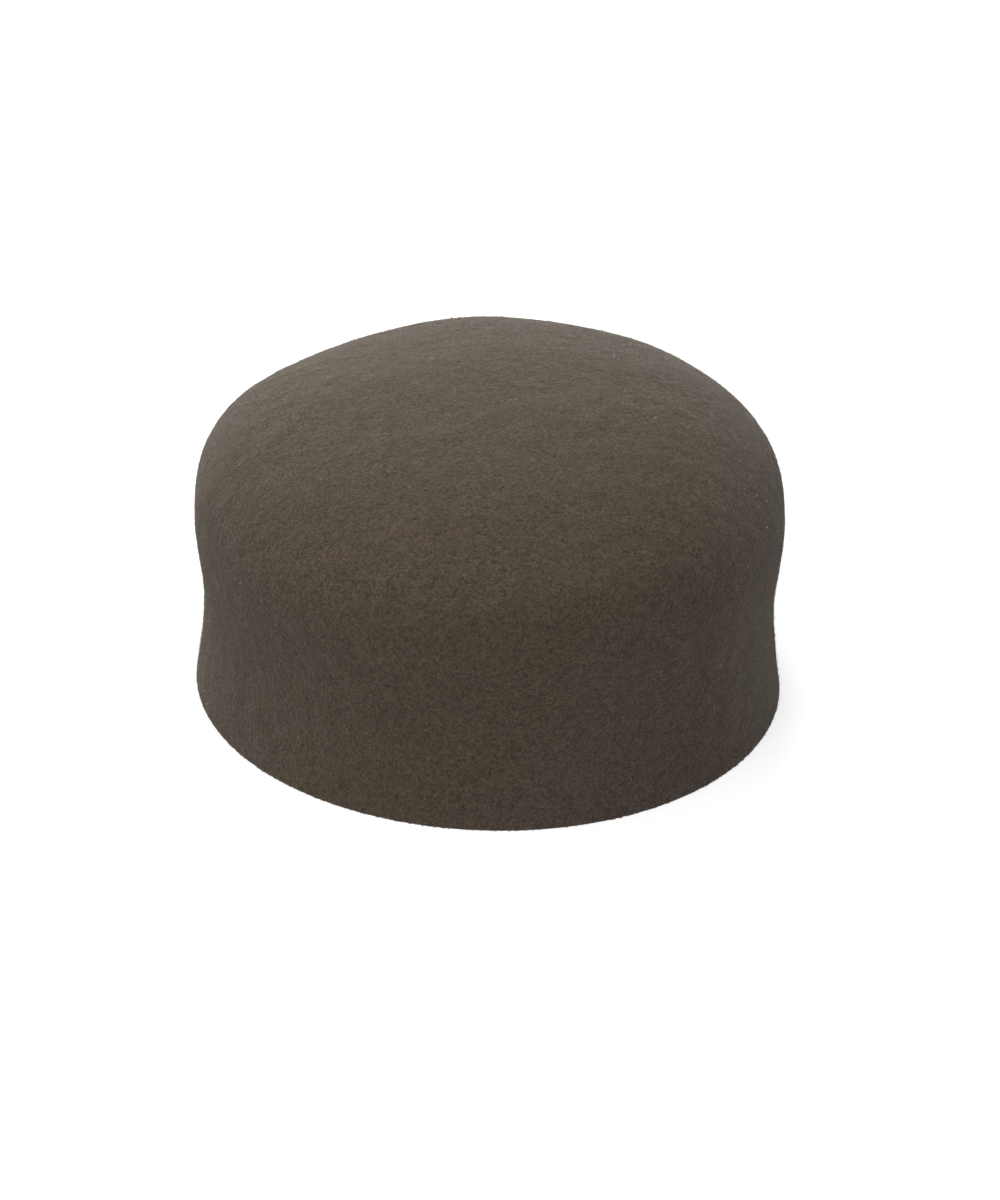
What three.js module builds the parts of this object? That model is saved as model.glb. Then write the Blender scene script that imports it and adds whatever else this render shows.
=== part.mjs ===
// A seamless wool felt cap: one blocked shell with a broad, gently domed crown, a shallow waist in
// its wall and a raw cut rim. Millimetres, +Z up. The origin is the centre of the oval rim, which
// lies on z = 0. The front of the cap faces -Y and the wearer's ears are towards +X and -X.
import * as THREE from 'three';

// Driving dimensions
const HALF_WIDTH = 90; // half the width at the shoulder, ear to ear
const OVAL = 1.15; // length front to back, over the width
const HEIGHT = 100; // rim to the top of the crown
const FELT = 2.2; // thickness of the felt
const SHOULDER_Z = 56.2; // height of the widest ring, where the wall turns into the crown
const WAIST_Z = 30; // height of the narrowest ring
const RIM_SHARE = 1.006; // radius of the rim, as a share of the shoulder's
const WAIST_SHARE = 0.973; // radius of the waist, as a share of the shoulder's
const RIM_SLOPE = -0.17; // change of the radius with height, just above the rim
const CROWN_FULLNESS = 2.85; // exponent of the crown's profile: 2 is an ellipse, more is squarer
const CROWN_TILT = 0.019; // rise of the crown towards +X, for each millimetre
const LEAN = 0.6; // shift of the shoulder over the rim, towards +X
const RIM_EASE = 0.45; // worn edge of the cut rim, inside and outside

// Soft dents in the crown: centre and spread on the plan, and depth
const DENTS = [
  { place: 'back left shoulder', x: -38, y: 74.5, spreadX: 24.7, spreadY: 26, depth: 4.0 },
  { place: 'back right shoulder', x: 37, y: 68, spreadX: 14, spreadY: 22, depth: 1.2 },
  { place: 'front left crown', x: -29, y: -22, spreadX: 24, spreadY: 11, depth: 0.6 },
];

// Facets
const COLUMNS = 64; // around the cap
const WALL_ROWS = 12; // rim to shoulder
const CROWN_ROWS = 12; // shoulder to the top
const NUDGE = 1e-3; // step for measuring the surface's slope

const FELT_MATERIAL = new THREE.MeshStandardMaterial({ color: 0x5a5148, roughness: 0.95, metalness: 0 });

// An S-curve from 0 to 1
function ease(t) {
  const u = THREE.MathUtils.clamp(t, 0, 1);
  return u * u * (3 - 2 * u);
}

// Ring radius at a height on the wall, as a share of the shoulder's: the rim flares out over the
// waist, and the wall swells again up to the shoulder
function wallShare(z) {
  if (z > WAIST_Z) {
    return WAIST_SHARE + (1 - WAIST_SHARE) * ease((z - WAIST_Z) / (SHOULDER_Z - WAIST_Z));
  }
  const u = z / WAIST_Z;
  const flare = (RIM_SLOPE / HALF_WIDTH) * WAIST_Z * u * (1 - u) * (1 - u);
  return RIM_SHARE + (WAIST_SHARE - RIM_SHARE) * u * u * (3 - 2 * u) + flare;
}

// Height and ring share at a place on the profile: 0 is the rim, 1 the shoulder and 2 the top
function profile(place) {
  if (place <= 1) {
    const z = place * SHOULDER_Z;
    return { z, share: wallShare(z) };
  }
  const turn = (Math.PI / 2) * Math.min(place - 1, 1);
  const rise = Math.sin(turn) ** (2 / CROWN_FULLNESS);
  return { z: SHOULDER_Z + (HEIGHT - SHOULDER_Z) * rise, share: Math.cos(turn) };
}

// How deep the dents press the crown in at a point of the plan
function dentDepth(x, y) {
  return DENTS.reduce((sum, dent) => {
    const away = ((x - dent.x) / dent.spreadX) ** 2 + ((y - dent.y) / dent.spreadY) ** 2;
    return sum + dent.depth * Math.exp(-away / 2);
  }, 0);
}

// A point of the cap's outside
function outside(angle, place) {
  const { z, share } = profile(place);
  const x = HALF_WIDTH * share * Math.cos(angle);
  const y = HALF_WIDTH * OVAL * share * Math.sin(angle);
  const crown = THREE.MathUtils.clamp((z - SHOULDER_Z) / (HEIGHT - SHOULDER_Z), 0, 1);
  const lifted = z + crown * (CROWN_TILT * x - dentDepth(x, y));
  return new THREE.Vector3(x + LEAN * ease(z / SHOULDER_Z), y, lifted);
}

// The outward normal there
function normalAt(angle, place) {
  const around = outside(angle + NUDGE, place).sub(outside(angle - NUDGE, place));
  const upward = outside(angle, place + NUDGE).sub(outside(angle, place - NUDGE));
  return around.cross(upward).normalize();
}

// One ring of points, set in from the outside by a depth along the normal
function ring(place, depth) {
  return Array.from({ length: COLUMNS }, (_, column) => {
    const angle = (2 * Math.PI * column) / COLUMNS;
    return outside(angle, place).addScaledVector(normalAt(angle, place), -depth);
  });
}

// One ring on the flat cut face of the rim, set in level from the outside
function rimRing(inset) {
  return Array.from({ length: COLUMNS }, (_, column) => {
    const angle = (2 * Math.PI * column) / COLUMNS;
    const level = normalAt(angle, 0).setZ(0).normalize();
    return outside(angle, 0).addScaledVector(level, -inset).setZ(0);
  });
}

// Places of the rings on the profile, from the eased rim up to the last ring below the top
function places() {
  const wall = Array.from({ length: WALL_ROWS + 1 }, (_, row) => row / WALL_ROWS);
  wall[0] = RIM_EASE / SHOULDER_Z;
  const crown = Array.from({ length: CROWN_ROWS - 1 }, (_, row) => 1 + (row + 1) / CROWN_ROWS);
  return [...wall, ...crown];
}

// The closed shell: down the outside from the top, across the cut rim and up the inside
function shellGeometry() {
  const up = places();
  const down = [...up].reverse();
  const rings = [
    ...down.map((place) => ring(place, 0)),
    rimRing(RIM_EASE),
    rimRing(FELT - RIM_EASE),
    ...up.map((place) => ring(place, FELT)),
  ];
  const top = outside(0, 2);
  const ceiling = top.clone().setZ(top.z - FELT);
  const points = [top, ...rings.flat(), ceiling];
  const last = points.length - 1;
  const at = (row, column) => 1 + row * COLUMNS + (column % COLUMNS);
  const triangles = [];
  for (let column = 0; column < COLUMNS; column += 1) {
    triangles.push(0, at(0, column), at(0, column + 1));
    for (let row = 0; row + 1 < rings.length; row += 1) {
      const [a, b] = [at(row, column), at(row, column + 1)];
      const [c, d] = [at(row + 1, column), at(row + 1, column + 1)];
      triangles.push(a, c, b, b, c, d);
    }
    triangles.push(last, at(rings.length - 1, column + 1), at(rings.length - 1, column));
  }
  const geometry = new THREE.BufferGeometry().setFromPoints(points);
  geometry.setIndex(triangles);
  geometry.computeVertexNormals();
  return geometry;
}

const cap = new THREE.Group();
const shell = new THREE.Mesh(shellGeometry(), FELT_MATERIAL);
shell.name = 'felt_cap';
cap.add(shell);

export default cap;
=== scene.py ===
import math

import bpy
import numpy as np
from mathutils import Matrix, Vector


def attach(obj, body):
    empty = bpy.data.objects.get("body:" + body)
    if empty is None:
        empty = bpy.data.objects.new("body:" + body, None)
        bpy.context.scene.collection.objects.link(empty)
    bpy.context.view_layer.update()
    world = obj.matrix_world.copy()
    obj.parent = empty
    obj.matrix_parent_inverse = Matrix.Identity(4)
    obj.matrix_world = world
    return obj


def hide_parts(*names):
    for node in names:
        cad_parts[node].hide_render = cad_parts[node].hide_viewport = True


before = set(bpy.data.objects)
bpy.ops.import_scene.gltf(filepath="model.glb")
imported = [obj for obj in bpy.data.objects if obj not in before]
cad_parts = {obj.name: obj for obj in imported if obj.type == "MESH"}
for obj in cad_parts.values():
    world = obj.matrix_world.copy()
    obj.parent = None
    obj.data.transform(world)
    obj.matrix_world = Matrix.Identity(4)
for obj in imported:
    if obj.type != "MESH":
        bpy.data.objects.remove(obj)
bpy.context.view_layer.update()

# A seamless wool felt cap: the blocked shell with the slight unevenness of real felt, and the nap of
# wool strands on it. Metres, in the part's own frame, with the front of the cap towards -Y.

# Sizes of the cap, as in the part's source
MM = 0.001
HALF_WIDTH = 90 * MM  # half the width at the shoulder, ear to ear
OVAL = 1.15  # length front to back, over the width
HEIGHT = 100 * MM  # rim to the top of the crown
FELT = 2.2 * MM  # thickness of the felt
SHOULDER_Z = 56.2 * MM  # height of the widest ring, where the wall turns into the crown
WAIST_Z = 30 * MM  # height of the narrowest ring
RIM_SHARE = 1.006  # radius of the rim, as a share of the shoulder's
WAIST_SHARE = 0.973  # radius of the waist, as a share of the shoulder's
RIM_SLOPE = -0.17  # change of the radius with height, just above the rim
CROWN_FULLNESS = 2.85  # exponent of the crown's profile: 2 is an ellipse, more is squarer
CROWN_TILT = 0.019  # rise of the crown towards +X, as a slope
LEAN = 0.6 * MM  # shift of the shoulder over the rim, towards +X
RIM_EASE = 0.45 * MM  # worn edge of the cut rim, inside and outside

# Soft dents in the crown: centre and spread on the plan, and depth, in millimetres
DENTS = [
    dict(place="back left shoulder", x=-38, y=74.5, spread_x=24.7, spread_y=26, depth=4.0),
    dict(place="back right shoulder", x=37, y=68, spread_x=14, spread_y=22, depth=1.2),
    dict(place="front left crown", x=-29, y=-22, spread_x=24, spread_y=11, depth=0.6),
]

# Relief that blocking and brushing leave in the felt: wavelength and height, in millimetres
RELIEF = [
    dict(wavelength=40, height=0.10),
    dict(wavelength=15, height=0.05),
    dict(wavelength=6, height=0.02),
]
WAVES = 14  # plane waves summed for each row of the relief
RELIEF_FADE = 6 * MM  # the relief grows from nothing at the rim to its full height here
SEED = 7  # of the relief and of the nap

# Facets of the shell
COLUMNS = 400
OUTSIDE_ROWS = 140
INSIDE_ROWS = 68
RIM_STEPS = 4  # over each rounded edge of the cut rim

# Places up the profile run from 0 at the rim, over 1 at the shoulder, to the top
TOP = 2.0
NUDGE = 1e-3  # step for measuring the surface's slope
PROFILE_STEPS = 4000  # for measuring the profile's length
PROFILE_ANGLE = -math.pi / 4  # where round the cap it is measured
SCATTER_COLUMNS = 240  # cells for spreading strands evenly, around the cap
SCATTER_ROWS = 200  # and up the profile

# The nap: strands of wool, sizes in millimetres. A strand rises from its root to its middle; its tip
# dips back into the felt, or stays loose. Lying strands are flat ribbons and loose ones are round.
# The tone is a share of the felt's colour.
LYING = dict(length=(0.8, 2.0), middle=(0.04, 0.20), tip=(-0.08, 0.04), thick=0.20, round=False)
LOOSE = dict(length=(0.6, 1.8), middle=(0.10, 0.50), tip=(0.15, 1.2), thick=0.10, round=True)
NAP = [
    dict(LYING, name="nap_dark", count=60000, tone=0.7),
    dict(LYING, name="nap_brown", count=60000, tone=1.2),
    dict(LYING, name="nap_pale", count=60000, tone=1.6),
    dict(LYING, name="lint", count=250, tone=3.0),
    dict(LOOSE, name="nap_loose", count=19500, tone=1.3),
]
ROOT_DEPTH = 0.08 * MM  # a strand starts this far under the surface
CURL = math.radians(35)  # turn of a strand at its middle, give or take

# Corners of a strand's section at its root and middle, as angles from its side, and its triangles.
# The root's corners come first, then the middle's, then the tip.
ROUND_CORNERS = np.radians([90, 210, 330])
ROUND_TRIANGLES = np.array([
    (0, 2, 1), (0, 1, 4), (0, 4, 3), (1, 2, 5), (1, 5, 4),
    (2, 0, 3), (2, 3, 5), (3, 4, 6), (4, 5, 6), (5, 3, 6),
])
FLAT_CORNERS = np.radians([180, 0])
FLAT_TRIANGLES = np.array([(0, 1, 3), (0, 3, 2), (2, 3, 4)])

# The felt's colour, and its tints as shares of red, green and blue
FELT_COLOUR = (0.066, 0.050, 0.0342)
OLIVE = (0.98, 1.02, 0.96)
PLUM = (1.02, 0.98, 1.05)
PAINTED_SHADE_TINT = (1.02, 0.975, 1.19)  # painted shade: a cool plum tint low on the right side of the wall, where the wall is in shade

# The painted shade tint takes over by x less a share of the height, between two values
PAINTED_SHADE_TINT_SLOPE = 1.1
PAINTED_SHADE_TINT_START = -40 * MM
PAINTED_SHADE_TINT_END = 0.0

# Mottling of the felt, as noise, and how far each kind takes the tone from dark to light
COARSE_GRAIN = dict(size=1.6 * MM, detail=3.0, roughness=0.6)
FINE_GRAIN = dict(size=0.8 * MM, detail=2.0, roughness=0.6)
PATCHES = dict(size=5 * MM, detail=4.0, roughness=0.6)
CLOUDS = dict(size=30 * MM, detail=2.0, roughness=0.5)
NOISE_LOW = 0.3  # most of a noise's values lie between these two
NOISE_HIGH = 0.7
GRAIN_TONES = (0.48, 1.52)
PATCH_TONES = (0.9, 1.1)
CLOUD_TONES = (0.97, 1.03)

# The bump: its depth, and what each kind of noise adds to it as a share of that. The swells are soft
# and broad, and leave the tone alone.
SWELLS = dict(size=9 * MM, detail=2.0, roughness=0.5)
BUMP_DEPTH = 1.8 * MM
GRAIN_HEIGHT = 0.8
PATCH_HEIGHT = 0.6
SWELL_HEIGHT = 1.5

# How wool takes the light
WOOL = {
    "Roughness": 0.95,
    "Specular IOR Level": 0.2,
    "Sheen Weight": 0.12,
    "Sheen Roughness": 0.5,
    "Sheen Tint": (0.95, 0.85, 0.74, 1.0),
}
LOOSE_WOOL = {
    "Subsurface Weight": 1.0,
    "Subsurface Radius": (1.0, 1.0, 1.0),
    "Subsurface Scale": 0.1 * MM,
}

# The floor, a pale sheet that glows a little, so that it turns out white
FLOOR_HALF = 4.0
FLOOR = {
    "Base Color": (0.36, 0.36, 0.36, 1.0),
    "Roughness": 0.9,
    "Emission Color": (1.0, 1.0, 1.0, 1.0),
    "Emission Strength": 0.7,
}

# Round soft lamps that face the cap: place and diameter in metres, power in watts
LIGHTS = [
    dict(name="back", at=(0, 1.23, 0.45), size=0.8, power=20.5),
    dict(name="top", at=(-0.35, 0.25, 1.25), size=0.8, power=9.2),
    dict(name="front_high", at=(-0.12, -0.45, 1.3), size=0.8, power=13.8),
    dict(name="front_left", at=(-0.9, -0.95, 0.5), size=1.6, power=5.0),
    dict(name="right", at=(1.2, 0.85, 0.12), size=0.2, power=4.2),
]

# The camera that took the photograph. Its sensor spans the picture's taller side.
PHOTO_HEIGHT_PX = 1200
FOCAL_PX = 4536
SENSOR_MM = 36.0
CAMERA_DISTANCE = 1.4
CAMERA_YAW = math.radians(10.09)  # the camera stands this far towards -X from the cap's front
CAMERA_RISE = math.radians(24.88)  # and this far up from the floor
TARGET = Vector((0, 0, 45 * MM))
PAN = 0.00287  # turn to the right of the target, in radians
TILT = -0.01272  # turn up from the target, in radians


# Shape

def ease(t):
    """An S-curve from 0 to 1."""
    u = np.clip(t, 0, 1)
    return u * u * (3 - 2 * u)


def wall_share(z):
    """Ring radius at a height on the wall, as a share of the shoulder's."""
    upper = WAIST_SHARE + (1 - WAIST_SHARE) * ease((z - WAIST_Z) / (SHOULDER_Z - WAIST_Z))
    u = z / WAIST_Z
    flare = RIM_SLOPE / HALF_WIDTH * WAIST_Z * u * (1 - u) ** 2
    lower = RIM_SHARE + (WAIST_SHARE - RIM_SHARE) * u * u * (3 - 2 * u) + flare
    return np.where(z > WAIST_Z, upper, lower)


def profile(place):
    """Height and ring share at a place on the profile."""
    wall_z = place * SHOULDER_Z
    turn = math.pi / 2 * np.clip(place - 1, 0, 1)
    crown_z = SHOULDER_Z + (HEIGHT - SHOULDER_Z) * np.sin(turn) ** (2 / CROWN_FULLNESS)
    on_wall = place <= 1
    return np.where(on_wall, wall_z, crown_z), np.where(on_wall, wall_share(wall_z), np.cos(turn))


def dent_depth(x, y):
    """How deep the dents press the crown in at points of the plan."""
    depth = np.zeros_like(x)
    for dent in DENTS:
        across = (x / MM - dent["x"]) / dent["spread_x"]
        along = (y / MM - dent["y"]) / dent["spread_y"]
        depth += dent["depth"] * MM * np.exp(-(across ** 2 + along ** 2) / 2)
    return depth


def smooth_outside(angle, place):
    """Points of the cap's outside, before the relief."""
    z, share = profile(place)
    x = HALF_WIDTH * share * np.cos(angle)
    y = HALF_WIDTH * OVAL * share * np.sin(angle)
    crown = np.clip((z - SHOULDER_Z) / (HEIGHT - SHOULDER_Z), 0, 1)
    lifted = z + crown * (CROWN_TILT * x - dent_depth(x, y))
    return np.stack([x + LEAN * ease(z / SHOULDER_Z), y, lifted], -1)


def unit(vectors):
    """The vectors, scaled to a length of 1."""
    return vectors / np.linalg.norm(vectors, axis=-1, keepdims=True)


def directions(angle, place):
    """Unit vectors there: around the ring, up the profile and outwards."""
    below_top = np.minimum(place, TOP - 2 * NUDGE)
    around = smooth_outside(angle + NUDGE, below_top) - smooth_outside(angle - NUDGE, below_top)
    upward = smooth_outside(angle, below_top + NUDGE) - smooth_outside(angle, below_top - NUDGE)
    outward = unit(np.cross(around, upward))
    around = unit(around)
    return around, np.cross(outward, around), outward


def relief_waves():
    """The plane waves of the relief: wave vectors, phases and height for each row."""
    rng = np.random.default_rng(SEED)
    waves = []
    for row in RELIEF:
        vectors = unit(rng.normal(size=(WAVES, 3))) * 2 * math.pi / (row["wavelength"] * MM)
        waves.append((vectors, rng.uniform(0, 2 * math.pi, WAVES), row["height"] * MM))
    return waves


RELIEF_WAVES = relief_waves()


def relief(points):
    """How far the felt stands proud of its smooth form."""
    total = np.zeros(points.shape[:-1])
    for vectors, phases, height in RELIEF_WAVES:
        total += height * math.sqrt(2 / WAVES) * np.sin(points @ vectors.T + phases).sum(-1)
    return total


def outside(angle, place):
    """Points of the cap's outside, with its relief, which dies away at the cut rim."""
    points = smooth_outside(angle, place)
    outward = directions(angle, place)[2]
    fade = ease(points[..., 2] / RELIEF_FADE)
    return points + outward * (relief(points) * fade)[..., None]


def even_places(rows):
    """Places up the profile, about evenly spaced along the felt, without the very top."""
    fine = np.linspace(RIM_EASE / SHOULDER_Z, TOP, PROFILE_STEPS)
    line = smooth_outside(np.full_like(fine, PROFILE_ANGLE), fine)
    length = np.concatenate([[0], np.cumsum(np.linalg.norm(np.diff(line, axis=0), axis=1))])
    return np.interp(np.linspace(0, length[-1], rows + 1), length, fine)[:-1]


def mesh_object(name, points, faces):
    """A smooth-shaded object from an array of points and one of faces, all with as many corners."""
    faces = np.asarray(faces)
    corners = faces.shape[1]
    mesh = bpy.data.meshes.new(name)
    mesh.vertices.add(len(points))
    mesh.vertices.foreach_set("co", np.ravel(points).astype(np.float32))
    mesh.loops.add(faces.size)
    mesh.loops.foreach_set("vertex_index", np.ravel(faces).astype(np.int32))
    mesh.polygons.add(len(faces))
    mesh.polygons.foreach_set("loop_start", np.arange(0, faces.size, corners, dtype=np.int32))
    mesh.update(calc_edges=True)
    mesh.shade_smooth()
    piece = bpy.data.objects.new(name, mesh)
    bpy.context.scene.collection.objects.link(piece)
    return piece


def rim_rings(angle):
    """Rings across the cut rim, from its rounded outside edge to its rounded inside edge."""
    rim = np.zeros_like(angle)
    level = unit(directions(angle, rim)[2] * (1, 1, 0))
    edge = smooth_outside(angle, rim) * (1, 1, 0)
    turns = np.linspace(0, math.pi / 2, RIM_STEPS + 1)[1:]
    insets = RIM_EASE * (1 - np.cos(turns))
    lifts = RIM_EASE * (1 - np.sin(turns))
    insets = np.concatenate([insets, FELT - insets[::-1]])
    lifts = np.concatenate([lifts, lifts[::-1]])
    return [edge - level * inset + (0, 0, lift) for inset, lift in zip(insets, lifts)]


def shell_rings():
    """Rings of the shell from the top down the outside, round the cut rim and up the inside."""
    angle = np.linspace(0, 2 * math.pi, COLUMNS, endpoint=False)
    rings = [outside(angle, np.full(COLUMNS, place)) for place in even_places(OUTSIDE_ROWS)[::-1]]
    rings += rim_rings(angle)
    for place in even_places(INSIDE_ROWS):
        places = np.full(COLUMNS, place)
        rings.append(outside(angle, places) - directions(angle, places)[2] * FELT)
    return rings


def make_shell():
    """The blocked shell, closed all round: a fan at the top, bands between rings, a fan at the ceiling."""
    rings = shell_rings()
    top = outside(np.zeros(1), np.full(1, TOP))
    points = np.concatenate([top, *rings, top - (0, 0, FELT)])
    here = 1 + np.arange(COLUMNS)
    after = np.roll(here, -1)
    last_ring = (len(rings) - 1) * COLUMNS
    faces = [np.stack([np.zeros_like(here), here, after], -1)]
    for start in range(0, last_ring, COLUMNS):
        a, b = here + start, after + start
        c, d = a + COLUMNS, b + COLUMNS
        faces += [np.stack([a, c, b], -1), np.stack([b, c, d], -1)]
    ceiling = np.full_like(here, len(points) - 1)
    faces.append(np.stack([ceiling, after + last_ring, here + last_ring], -1))
    return mesh_object("felt_shell", points, np.concatenate(faces))


def scatter(count, rng):
    """Angles and places of points spread evenly over the outside."""
    angle_edges = np.linspace(0, 2 * math.pi, SCATTER_COLUMNS + 1)
    place_edges = np.linspace(0, TOP, SCATTER_ROWS + 1)
    corner = smooth_outside(*np.meshgrid(angle_edges, place_edges, indexing="ij"))
    across = corner[1:, :-1] - corner[:-1, :-1]
    upward = corner[:-1, 1:] - corner[:-1, :-1]
    area = np.linalg.norm(np.cross(across, upward), axis=-1).ravel()
    cell = rng.choice(area.size, count, p=area / area.sum())
    column, row = np.unravel_index(cell, (SCATTER_COLUMNS, SCATTER_ROWS))
    angle = (column + rng.random(count)) * angle_edges[1]
    place = (row + rng.random(count)) * place_edges[1]
    return angle, place


def strand_points(row, rng):
    """Points of one piece of nap: corners at the root, corners at the middle and one at the tip."""
    count = row["count"]
    angle, place = scatter(count, rng)
    around, upward, outward = directions(angle, place)
    heading = rng.uniform(0, 2 * math.pi, count)
    turned = heading + rng.normal(0, CURL, count)
    length = rng.uniform(*row["length"], (count, 1)) * MM
    middle_lift = rng.uniform(*row["middle"], (count, 1)) * MM
    tip_lift = rng.uniform(*row["tip"], (count, 1)) * MM

    def along(bearing):
        return around * np.cos(bearing)[:, None] + upward * np.sin(bearing)[:, None]

    surface = outside(angle, place)
    root = surface - outward * ROOT_DEPTH
    middle = surface + along(heading) * length / 2 + outward * middle_lift
    tip = surface + (along(heading) + along(turned)) * length / 2 + outward * tip_lift
    side = np.cross(along(heading), outward)
    corners = ROUND_CORNERS if row["round"] else FLAT_CORNERS
    ring = len(corners)
    points = np.empty((count, 2 * ring + 1, 3))
    for index, corner in enumerate(corners):
        offset = (side * math.cos(corner) + outward * math.sin(corner)) * row["thick"] * MM / 2
        points[:, index] = root + offset
        points[:, ring + index] = middle + offset
    points[:, -1] = tip
    # No strand reaches under the floor
    points[..., 2] = np.maximum(points[..., 2], 0)
    return points


def make_nap():
    """The nap, one mesh of many strands for each row of its table."""
    rng = np.random.default_rng(SEED)
    made = []
    for row in NAP:
        points = strand_points(row, rng)
        triangles = ROUND_TRIANGLES if row["round"] else FLAT_TRIANGLES
        starts = points.shape[1] * np.arange(row["count"])[:, None, None]
        faces = (starts + triangles).reshape(-1, 3)
        piece = mesh_object(row["name"], points.reshape(-1, 3), faces)
        piece.data.materials.append(nap_material(row))
        made.append(piece)
    return made


# Materials

class Graph:
    """A material's nodes, added one by one."""

    def __init__(self, name):
        self.material = bpy.data.materials.new(name)
        self.material.use_nodes = True
        self.tree = self.material.node_tree
        self.shader = self.tree.nodes["Principled BSDF"]

    def fill(self, node, inputs):
        """Links an input of the node to a socket, or sets it to a plain value."""
        for key, value in inputs.items():
            if isinstance(value, bpy.types.NodeSocket):
                self.tree.links.new(value, node.inputs[key])
            else:
                node.inputs[key].default_value = value

    def add(self, kind, inputs, **settings):
        """A new node with these inputs and settings."""
        node = self.tree.nodes.new(kind)
        for key, value in settings.items():
            setattr(node, key, value)
        self.fill(node, inputs)
        return node

    def math(self, operation, a, b):
        """A sum, product or the like of two values."""
        return self.add("ShaderNodeMath", {0: a, 1: b}, operation=operation).outputs[0]

    def noise(self, place, size, detail, roughness):
        """Soft noise with spots of about this size."""
        inputs = {"Vector": place, "Scale": 1 / size, "Detail": detail, "Roughness": roughness}
        return self.add("ShaderNodeTexNoise", inputs).outputs["Fac"]

    def mix_colour(self, share, a, b):
        """Colour a, with a share of colour b. The node's sockets for colours are 6, 7 and output 2."""
        return self.add("ShaderNodeMix", {0: share, 6: a, 7: b}, data_type="RGBA").outputs[2]

    def spread(self, noise, low, high):
        """Noise stretched so that most of it runs from low to high."""
        inputs = {
            "Value": noise, "From Min": NOISE_LOW, "From Max": NOISE_HIGH, "To Min": low, "To Max": high,
        }
        return self.add("ShaderNodeMapRange", inputs, clamp=False).outputs[0]


def tinted(tint):
    """The felt's colour times a tint, as a colour with alpha."""
    return (*(colour * share for colour, share in zip(FELT_COLOUR, tint)), 1.0)


def painted_shade_share(graph, place):
    """How far the colour has turned to the painted shade tint at a place, from 0 to 1."""
    x, _, z = graph.add("ShaderNodeSeparateXYZ", {0: place}).outputs
    reach = graph.math("SUBTRACT", x, graph.math("MULTIPLY", z, PAINTED_SHADE_TINT_SLOPE))
    inputs = {"Value": reach, "From Min": PAINTED_SHADE_TINT_START, "From Max": PAINTED_SHADE_TINT_END}
    return graph.add("ShaderNodeMapRange", inputs, interpolation_type="SMOOTHSTEP").outputs[0]


def felt_material():
    """Wool felt, mottled in tone and tint, with a painted cool shade tint low on the right side of the
    wall, and with a bump that follows the mottling.
    """
    graph = Graph("felt")
    place = graph.add("ShaderNodeTexCoord", {}).outputs["Object"]
    coarse = graph.noise(place, **COARSE_GRAIN)
    fine = graph.noise(place, **FINE_GRAIN)
    grain = graph.math("MULTIPLY", graph.math("ADD", coarse, fine), 0.5)  # their mean
    patches = graph.noise(place, **PATCHES)
    clouds = graph.noise(place, **CLOUDS)
    swells = graph.noise(place, **SWELLS)
    tone = graph.math("MULTIPLY", graph.spread(grain, *GRAIN_TONES), graph.spread(patches, *PATCH_TONES))
    tone = graph.math("MULTIPLY", tone, graph.spread(clouds, *CLOUD_TONES))
    colour = graph.mix_colour(graph.spread(patches, 0.0, 1.0), tinted(OLIVE), tinted(PLUM))
    # Painted shade: a cool plum tint takes over low on the right side of the wall, the cap's shaded side
    colour = graph.mix_colour(painted_shade_share(graph, place), colour, tinted(PAINTED_SHADE_TINT))
    shade = graph.add("ShaderNodeVectorMath", {0: colour, "Scale": tone}, operation="SCALE")
    height = graph.math("MULTIPLY", grain, GRAIN_HEIGHT)
    height = graph.math("ADD", height, graph.math("MULTIPLY", patches, PATCH_HEIGHT))
    height = graph.math("ADD", height, graph.math("MULTIPLY", swells, SWELL_HEIGHT))
    bump = graph.add("ShaderNodeBump", {"Height": height, "Strength": 1.0, "Distance": BUMP_DEPTH})
    graph.fill(graph.shader, {"Base Color": shade.outputs[0], "Normal": bump.outputs[0], **WOOL})
    return graph.material


def nap_material(row):
    """Wool of one tone. Light also passes through the round strands."""
    graph = Graph(row["name"])
    graph.fill(graph.shader, {"Base Color": tinted([row["tone"]] * 3), **WOOL})
    if row["round"]:
        graph.fill(graph.shader, LOOSE_WOOL)
    return graph.material


# Floor, light and camera

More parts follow.
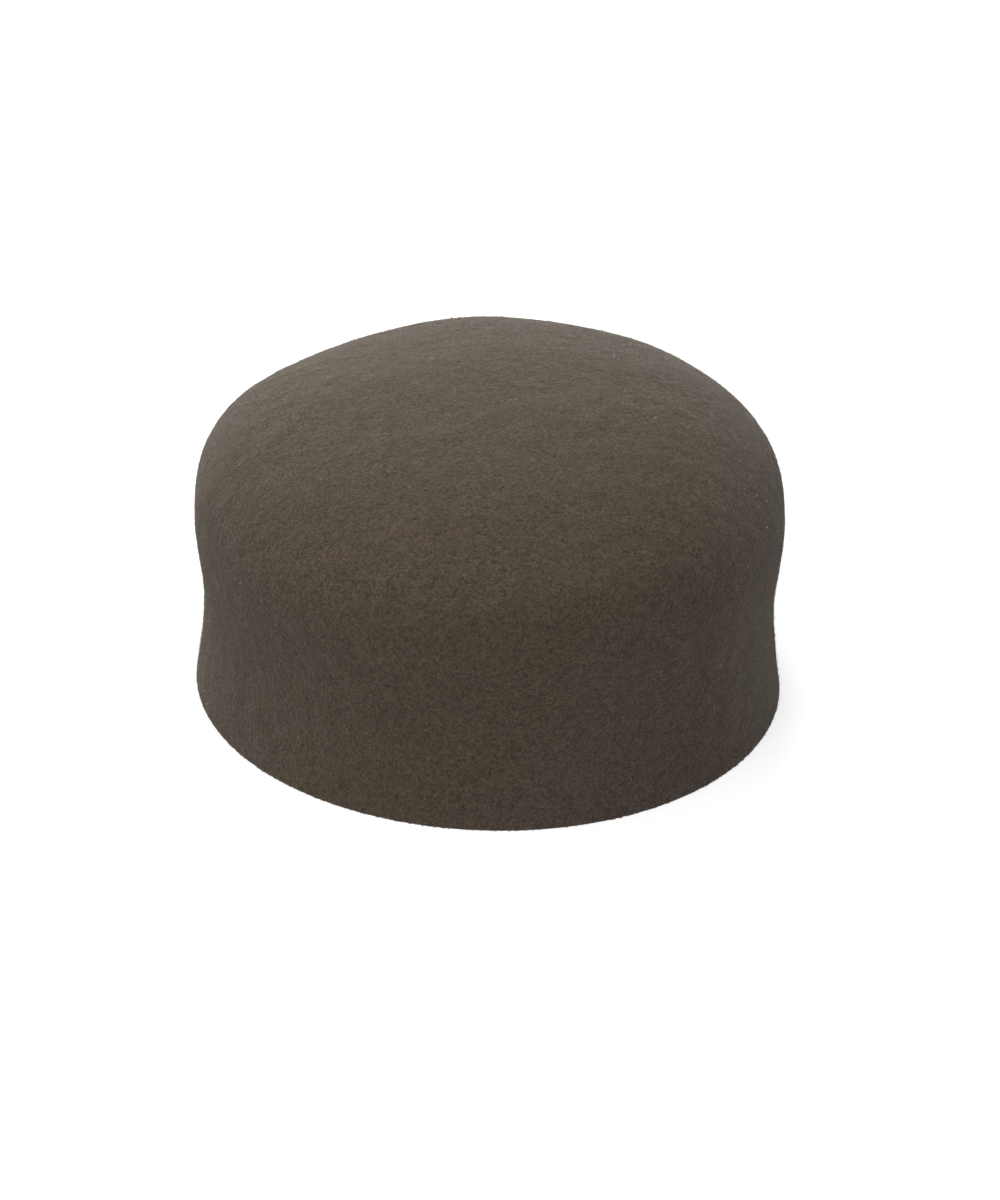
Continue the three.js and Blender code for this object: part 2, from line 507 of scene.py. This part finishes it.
def make_floor():
    """The floor that the cap's rim rests on."""
    half = FLOOR_HALF
    corners = [(-half, -half, 0), (half, -half, 0), (half, half, 0), (-half, half, 0)]
    floor = mesh_object("floor", corners, [(0, 1, 2, 3)])
    graph = Graph("floor")
    graph.fill(graph.shader, FLOOR)
    floor.data.materials.append(graph.material)


def make_lights():
    """The lamps, in a world that is otherwise dark."""
    for row in LIGHTS:
        light = bpy.data.lights.new(row["name"], "AREA")
        light.shape = "DISK"
        light.size = row["size"]
        light.energy = row["power"]
        lamp = bpy.data.objects.new(row["name"], light)
        lamp.location = row["at"]
        aim = TARGET - lamp.location
        lamp.rotation_euler = aim.to_track_quat("-Z", "Y").to_euler()
        bpy.context.scene.collection.objects.link(lamp)
    world = bpy.data.worlds.new("studio")
    world.use_nodes = True
    world.node_tree.nodes["Background"].inputs["Strength"].default_value = 0.0
    bpy.context.scene.world = world


def make_camera():
    """The camera, at the photograph's viewing angle."""
    ahead = Vector((math.sin(CAMERA_YAW), math.cos(CAMERA_YAW), 0))
    right = Vector((math.cos(CAMERA_YAW), -math.sin(CAMERA_YAW), 0))
    above = Vector((0, 0, 1))
    up = ahead * math.sin(CAMERA_RISE) + above * math.cos(CAMERA_RISE)
    back = above * math.sin(CAMERA_RISE) - ahead * math.cos(CAMERA_RISE)
    data = bpy.data.cameras.new("camera")
    data.sensor_width = SENSOR_MM
    data.lens = FOCAL_PX * SENSOR_MM / PHOTO_HEIGHT_PX
    camera = bpy.data.objects.new("camera", data)
    camera.location = TARGET + CAMERA_DISTANCE * back
    aim = TARGET + CAMERA_DISTANCE * (right * math.tan(PAN) + up * math.tan(TILT))
    camera.rotation_euler = (aim - camera.location).to_track_quat("-Z", "Y").to_euler()
    bpy.context.scene.collection.objects.link(camera)
    bpy.context.scene.camera = camera


make_camera()
make_lights()
make_floor()
# Colours go to the picture as they are, with no film curve
bpy.context.scene.view_settings.view_transform = "Standard"

shell = make_shell()
shell.data.materials.append(felt_material())
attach(shell, "root")
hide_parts("felt_cap")

for piece in make_nap():
    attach(piece, "root")
